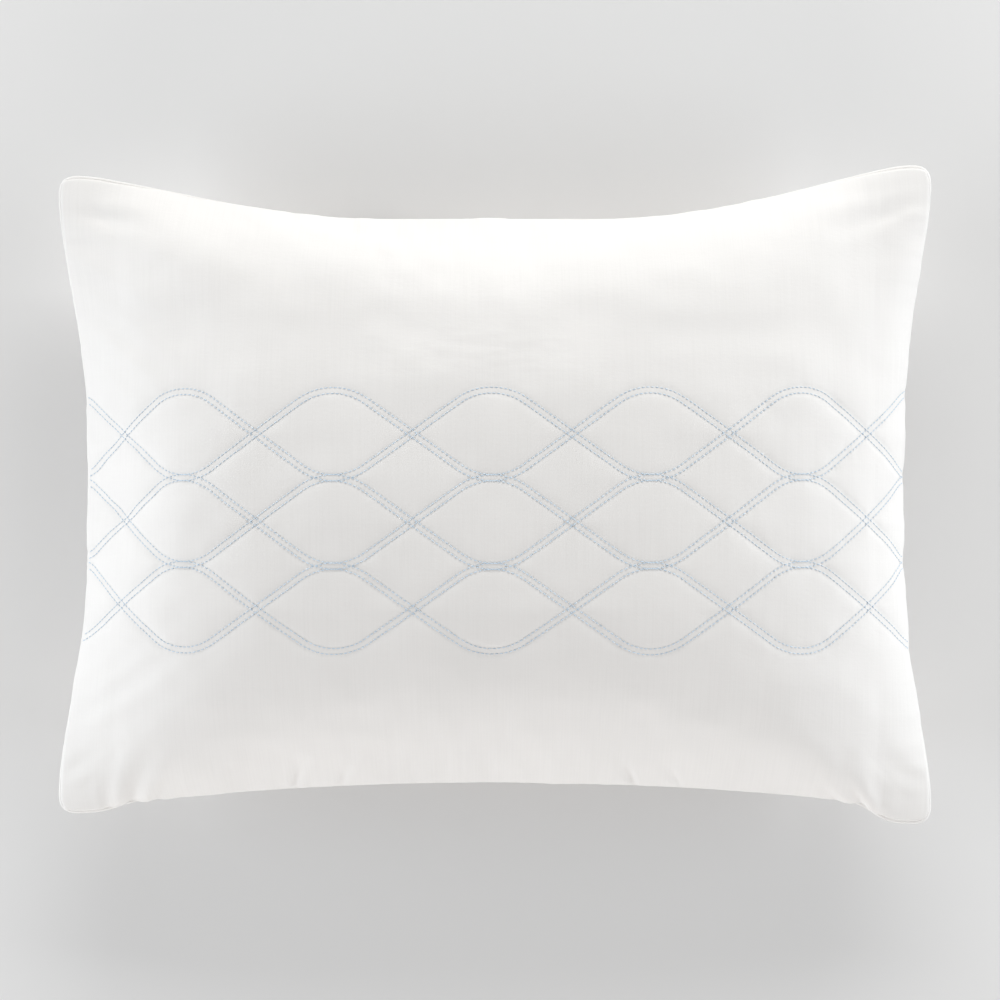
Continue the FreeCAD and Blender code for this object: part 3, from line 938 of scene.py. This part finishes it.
def nylon_look(name, colour):
    """Smooth moulded nylon."""
    look = Look(name, Roughness=0.38)
    mottle = look.clouds((700, 700, 700), 2.0)
    look.paint(look.ramp(mottle, tuple(0.9 * c for c in colour), colour))
    look.rough(mottle, 0.3, 0.48)
    look.emboss(mottle, 0.00003, 0.5)
    return look.material


def metal_look(name, colour):
    """Plated zinc with fine handling scratches."""
    look = Look(name, Metallic=1.0, Roughness=0.3)
    scratch = look.clouds((180, 2400, 900), 3.0)
    wear = look.clouds((140, 140, 140), 2.0)
    look.paint(look.ramp(wear, tuple(0.82 * c for c in colour), colour))
    look.rough(look.maths("MULTIPLY", look.maths("ADD", scratch, wear), 0.5), 0.18, 0.5)
    look.emboss(scratch, 0.00003, 0.5)
    return look.material


sateen = sateen_look("cover_sateen", (0.850, 0.826, 0.806), (0.872, 0.848, 0.828))
piping_sateen = woven_look("piping_sateen", (0.83, 0.808, 0.79), (0.875, 0.852, 0.832), 900, 0.00006)
blue_thread = thread_look("blue_thread", (0.46, 0.58, 0.70), (0.62, 0.73, 0.83))
white_thread = thread_look("white_thread", (0.72, 0.71, 0.70), (0.85, 0.84, 0.83))
wadding = fibre_look("wadding", (0.88, 0.87, 0.85))
fibre = fibre_look("fibre", (0.90, 0.90, 0.89))
scrim = woven_look("scrim", (0.66, 0.65, 0.62), (0.86, 0.85, 0.82), 500, 0.0001)
ticking = woven_look("ticking", (0.74, 0.74, 0.73), (0.86, 0.86, 0.85), 1200, 0.00005)
cotton_cord = thread_look("cotton_cord", (0.70, 0.68, 0.64), (0.84, 0.82, 0.78))
zip_tape = woven_look("zip_tape", (0.62, 0.62, 0.61), (0.82, 0.82, 0.81), 1600, 0.00006)
zip_nylon = nylon_look("zip_nylon", (0.84, 0.84, 0.83))
zip_metal = metal_look("zip_metal", (0.72, 0.72, 0.70))
label_satin = woven_look("label_satin", (0.76, 0.76, 0.75), (0.88, 0.88, 0.87), 2200, 0.00004, Roughness=0.45)


# ---- pieces


def finish_piece(piece, node, material, body="pillow"):
    """Gives a piece its material and its place in the frame."""
    piece.data.materials.clear()
    piece.data.materials.append(material)
    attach(piece, body)
    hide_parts(node)


def cloth_map(piece, u, v):
    """Stores each vertex's place on the flat cloth as the piece's UV map."""
    layer = piece.data.uv_layers.new(name="flat")
    index = np.zeros(len(piece.data.loops), int)
    piece.data.loops.foreach_get("vertex_index", index)
    layer.data.foreach_set("uv", np.stack([u.ravel(), v.ravel()], axis=-1)[index].ravel())


def shell(name, outer, inner, up):
    """A closed layer between two grids."""
    nu, nv = outer.shape[:2]
    count = nu * nv
    faces = [grid_faces(nu, nv, 0, up), grid_faces(nu, nv, count, not up)]
    index = np.arange(count).reshape(nu, nv)
    rim = np.concatenate([index[:-1, 0], index[-1, :-1], index[:0:-1, -1], index[0, :0:-1]])
    after = np.roll(rim, -1)
    wall = np.stack([rim, rim + count, after + count, after], axis=-1)
    faces.append(wall if up else wall[:, ::-1])
    points = np.concatenate([outer.reshape(-1, 3), inner.reshape(-1, 3)])
    return mesh_object(name, points, np.concatenate(faces))


def swept(name, rings, closed=False):
    """Tubes whose cross-sections are the rings, an array of (..., sections, corners, 3)."""
    index = np.arange(rings[..., 0].size).reshape(rings.shape[:-1])
    here = index if closed else index[..., :-1, :]
    there = np.roll(index, -1, -2) if closed else index[..., 1:, :]
    quads = np.stack([here, np.roll(here, -1, -1), np.roll(there, -1, -1), there], axis=-1).reshape(-1, 4)
    return mesh_object(name, rings, quads)


def round_sections(line, side, up, radius, sides):
    """Round cross-sections at a line's points, in the plane of side and up."""
    turn = np.linspace(0, 2 * math.pi, sides, endpoint=False)[:, None]
    return line[..., None, :] + radius * (np.cos(turn) * side[..., None, :] + np.sin(turn) * up[..., None, :])


def panels():
    """The cover's two panels."""
    u, v = flat_grid(crowded(fine_u), crowded(fine_v))
    front = mesh_object("cover_front", front_full, grid_faces(fine_u, fine_v, 0, True))
    cloth_map(front, u, v)
    finish_piece(front, "front_panel", sateen)

    nu, nv = back_full.shape[:2]
    u, v = flat_grid(crowded(nu), crowded(nv))
    hem = zip_hem()
    points = np.concatenate([hem[:, None], back_full], axis=1)
    u = np.concatenate([u[:, :1], u], axis=1)
    v = np.concatenate([v[:, :1] - hem_width, v], axis=1)
    back = mesh_object("cover_back", points, grid_faces(nu, nv + 1, 0, False))
    cloth_map(back, u, v)
    finish_piece(back, "back_panel", sateen)


def zip_hem():
    """What is turned in at the back panel's zip edge: a hem, and a facing behind the gaps past the tapes."""
    edge = back_full[:, 0]
    below = np.clip((back_z - edge[:, 2:]) / hem_fade, 0, 1)
    hem = edge + (0, hem_under, 0) + below * hem_turn
    along = along_zip(edge)
    facing = zip_place(along, np.full(len(along), facing_top), facing_proud)
    past = np.clip((np.abs(along) - tape_half) / facing_fade, 0, 1)[:, None] * below
    return hem * (1 - past) + facing * past


def ring_piece(name, section, wobble=0.0):
    """A band round the seam with a cross-section of (outwards, up) corners, its cord a little uneven."""
    loop = evenly(np.concatenate([seam, seam[:1]]), ring_count + 1)[:-1]
    ahead = unit(np.roll(loop, -1, 0) - np.roll(loop, 1, 0))
    out = np.stack([ahead[:, 1], -ahead[:, 0]], axis=-1)
    section = np.array(section)
    along = np.arange(ring_count) * (2 * math.pi / ring_count)
    swell = 1 + wobble * noise(60 * np.cos(along) + 80, 60 * np.sin(along) + 80, 5)[:, None]
    on_cord = section[:, 0] > piping_out - piping_radius
    middle = np.where(on_cord, piping_out, 0)
    plan = loop[:, None] + (middle + (section[:, 0] - middle) * swell)[..., None] * out[:, None]
    z = seam_z + section[:, 1] * np.where(on_cord, swell, 1)
    return swept(name, np.dstack([plan, z]), closed=True)


def piping():
    """The covered cord in the seam, with its flange between the panels."""
    slit = math.asin(flange / 2 / piping_radius)
    turns = np.linspace(math.pi + slit, 3 * math.pi - slit, 18)
    section = [(-flange_reach, -flange / 2)]
    section += [(piping_out + piping_radius * math.cos(t), piping_radius * math.sin(t)) for t in turns]
    section += [(-flange_reach, flange / 2)]
    cover = ring_piece("piping", section, piping_wobble)
    finish_piece(cover, "piping_cover", piping_sateen)
    radius = piping_core_radius
    turns = np.linspace(0, 2 * math.pi, 12, endpoint=False)
    core = ring_piece("piping_core", [(piping_out + radius * math.cos(t), radius * math.sin(t)) for t in turns])
    finish_piece(core, "piping_cord", cotton_cord)


def wave_path(middle, phase, shift):
    """Points along one stitched line on the flat cloth, shifted from its wave's middle line."""
    points = []
    for crest in range(-crests_each_way, crests_each_way + 1):
        sign = phase * (1 - 2 * (crest % 2))
        radius = crest_radius + sign * shift
        centre = middle + sign * crest_centre
        for turn in np.linspace(-flank, flank, points_per_crest):
            points.append((crest * lens_length + radius * math.sin(turn), centre + sign * radius * math.cos(turn)))
    return np.array(points) + (band_u, 0)


def on_front(u, v, grid):
    """Where a place on the flat cloth lies on a fine grid of the front panel."""
    a = np.interp((u / cut_half_length + 1) / 2, crowded(fine_u), np.arange(fine_u))
    b = np.interp((v / cut_half_width + 1) / 2, crowded(fine_v), np.arange(fine_v))
    i = np.clip(a.astype(int), 0, fine_u - 2)
    j = np.clip(b.astype(int), 0, fine_v - 2)
    return between(grid, i, j, (a - i)[..., None], (b - j)[..., None])


def stitches():
    """The quilting's stitches, each a short thread that dips into the cloth at both ends."""
    up = normals(front_full, True)
    limit = cut_half_length - stitch_edge_gap
    starts, ends = [], []
    for middle, phase in waves():
        for side in (-1, 1):
            line = wave_path(middle, phase, side * line_spacing / 2)
            length = np.linalg.norm(np.diff(line, axis=0), axis=1).sum()
            count = int(length / stitch_pitch)
            marks = evenly(line, count + 1)
            ahead = unit(np.diff(marks, axis=0))
            keep = (np.abs(marks[:-1, 0]) < limit) & (np.abs(marks[1:, 0]) < limit)
            starts.append(marks[:-1][keep])
            ends.append((marks[:-1] + ahead * stitch_length)[keep])
    starts, ends = np.concatenate(starts), np.concatenate(ends)
    steps = np.linspace(0, 1, len(stitch_taper))
    flat = starts[:, None] + (ends - starts)[:, None] * steps[None, :, None]
    base = on_front(flat[..., 0], flat[..., 1], front_full)
    out = on_front(flat[..., 0], flat[..., 1], up)
    middle = base + out * (np.sin(steps * math.pi) * stitch_arch - stitch_dip)[None, :, None]
    side = np.cross(unit(np.gradient(middle, axis=1)), out)
    radii = thread_radius * np.array(stitch_taper)[:, None, None]
    rings = round_sections(middle, side, out, radii, thread_sides)
    finish_piece(swept("quilting", rings), "quilting_thread", blue_thread)


def quilt_layers():
    """The wadding and its backing, which follow the quilted cloth and thin out towards the seam."""
    outer, plain = front_full[::layer_step, ::layer_step], front_plain[::layer_step, ::layer_step]
    u, v = flat_grid(crowded(fine_u)[::layer_step], crowded(fine_v)[::layer_step])
    taper = np.clip(seam_gap(u, v) / taper_reach, taper_least, 1)[..., None]
    down_outer, down_plain = normals(outer, True) * taper, normals(plain, True) * taper
    wad = shell("quilt_filling", outer - down_outer * wadding_top, plain - down_plain * wadding_under, True)
    finish_piece(wad, "quilt_wadding", wadding)
    back = shell("quilt_scrim", plain - down_plain * scrim_top, plain - down_plain * scrim_under, True)
    finish_piece(back, "quilt_backing", scrim)


def nested(grid, inset, drop):
    """A panel drawn in towards the pillow's middle, by inset at its sides and by drop at its crown."""
    share = np.array([(half_length - inset) / half_length, (half_width - inset) / half_width])
    grid = grid.copy()
    grid[..., :2] *= share
    rise = grid[..., 2] - seam_z
    grid[..., 2] = seam_z + rise * (1 - drop / np.abs(rise).max())
    return grid


def inner_pillow():
    """The inner pillow: two ticking panels, their seam and the filling."""
    front = softened(fitted(front_grid, True), casing_soften_rounds)
    back = softened(fitted(back_grid, False), casing_soften_rounds)
    back[:, 0] = np.concatenate([evenly(front_line, sim_u), np.full((sim_u, 1), seam_z)], axis=1)
    back[:, 1:4] = (back[:, 1:4] * 2 + back[:, :1] * 0.6 + back[:, 4:5] * 1.4) / 4  # off the folded zip edge
    for grid in (front, back):
        grid[0, :, 2] = grid[-1, :, 2] = grid[:, 0, 2] = grid[:, -1, 2] = seam_z
    for name, node, grid, drop, up in (
        ("inner_front", "inner_casing_front", front, casing_front_drop, True),
        ("inner_back", "inner_casing_back", back, casing_back_drop, False),
    ):
        inside = nested(grid, casing_inset + casing_cloth, drop + casing_cloth)
        piece = shell(name, nested(grid, casing_inset, drop), inside, up)
        finish_piece(piece, node, ticking)
    inset = casing_inset + fill_gap
    top = nested(front, inset, casing_front_drop + fill_gap)
    filling = shell("filling", top, nested(back, inset, casing_back_drop + fill_gap), True)
    finish_piece(filling, "fibre_fill", fibre)


def zip_coils():
    """The two halves of the nylon coil, each a spiral of filament on its tape's edge."""
    turns = int(zip_length / coil_pitch)
    steps = turns * coil_steps
    turn = np.linspace(0, turns * 2 * math.pi, steps)
    along = np.linspace(-zip_length / 2 + filament, zip_length / 2 - filament, steps)
    half_across = (coil_far - coil_near) / 2 - filament
    half_height = coil_height / 2 - filament
    for half, side in (("upper", 1), ("lower", -1)):
        up = side * ((coil_near + coil_far) / 2 - half_across * np.cos(turn))
        proud = coil_height / 2 + half_height * np.sin(turn)
        line = zip_place(along + coil_lean * coil_pitch * np.sin(2 * turn), up, proud)
        ahead = unit(np.gradient(line, axis=0))
        out = unit(np.cross(ahead, (0, 0, 1)))
        rings = round_sections(line, out, np.cross(out, ahead), filament, coil_sides)
        finish_piece(swept("coil_" + half, rings), "zip_coil_" + half, zip_nylon)


def bevelled(name, node, body, width):
    """A metal CAD node's shape with its edges rounded."""
    piece = frame["nodes"][node].copy()
    piece.data = frame["nodes"][node].data.copy()
    piece.name = name
    for key in list(piece.keys()):
        if key.startswith("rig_"):
            del piece[key]
    piece.parent = None
    bpy.context.scene.collection.objects.link(piece)
    weld = piece.modifiers.new("weld", "WELD")
    weld.merge_threshold = weld_gap
    bevel = piece.modifiers.new("bevel", "BEVEL")
    bevel.width = width
    bevel.segments = 2
    bevel.limit_method = "ANGLE"
    shown = piece.evaluated_get(bpy.context.evaluated_depsgraph_get())
    piece.data = bpy.data.meshes.new_from_object(shown)
    piece.modifiers.clear()
    finish_piece(piece, node, zip_metal, body)


def label():
    """The blank care label, folded double and hanging from the rear seam."""
    low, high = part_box("care_label")
    t = np.linspace(0, 1, label_points)
    belly = np.sin(t * math.pi)
    bow = label_bow * belly + label_lean * (t - 0.5)
    ripple = label_ripple * np.sin(np.linspace(0, label_ripple_turn, label_columns))[:, None] * belly
    points = np.zeros((label_columns, label_points, 3))
    points[..., 0] = np.linspace(low.x, high.x, label_columns)[:, None]
    points[..., 1] = (low.y + high.y) / 2 + bow + ripple
    points[..., 2] = high.z - (high.z - low.z) * (1 - np.abs(2 * t - 1)) ** label_fold
    piece = shell("label", points, points + (0, label_cloth, 0), True)
    finish_piece(piece, "care_label", label_satin)


def kept_nodes():
    """CAD nodes that keep their own shape."""
    for node, material in (
        ("seam_thread", white_thread),
        ("inner_casing_thread", white_thread),
        ("zip_tape_upper", zip_tape),
        ("zip_tape_lower", zip_tape),
    ):
        mesh = frame["nodes"][node].data
        mesh.materials.clear()
        mesh.materials.append(material)


panels()
piping()
stitches()
quilt_layers()
inner_pillow()
zip_coils()
bevelled("top_stops", "zip_top_stops", "pillow", 0.00015)
bevelled("bottom_stop", "zip_bottom_stop", "pillow", 0.00015)
bevelled("slider", "zip_slider", "slider", 0.00022)
bevelled("pull_tab", "zip_pull", "pull", 0.00025)
label()
kept_nodes()


# ---- setting


def area_light(name, place, size, power, colour):
    """A soft light that faces the pillow's middle."""
    data = bpy.data.lights.new(name, "AREA")
    data.shape = "RECTANGLE"
    data.size, data.size_y = size
    data.energy = power
    data.color = colour
    made = bpy.data.objects.new(name, data)
    made.location = place
    made.rotation_euler = (Vector((0, 0, crown_z / 2)) - Vector(place)).to_track_quat("-Z", "Y").to_euler()
    bpy.context.scene.collection.objects.link(made)


def setting():
    """The pale floor, the soft lights round it, and the camera overhead."""
    ground = mesh_object("ground", square(ground_half), [(0, 1, 2, 3)])
    ground.data.materials.append(Look("ground", Base_Color=(*ground_colour, 1), Roughness=0.9).material)

    world = bpy.data.worlds.new("studio")
    world.use_nodes = True
    sky = world.node_tree.nodes["Background"]
    sky.inputs["Color"].default_value = (*sky_colour, 1)
    sky.inputs["Strength"].default_value = sky_strength
    bpy.context.scene.world = world
    for light in lights:
        area_light(*light)

    camera = bpy.data.objects.new("camera", bpy.data.cameras.new("camera"))
    camera.location = camera_place
    camera.data.lens = camera_lens
    bpy.context.scene.collection.objects.link(camera)
    bpy.context.scene.camera = camera
    bpy.context.scene.view_settings.view_transform = "Standard"


setting()
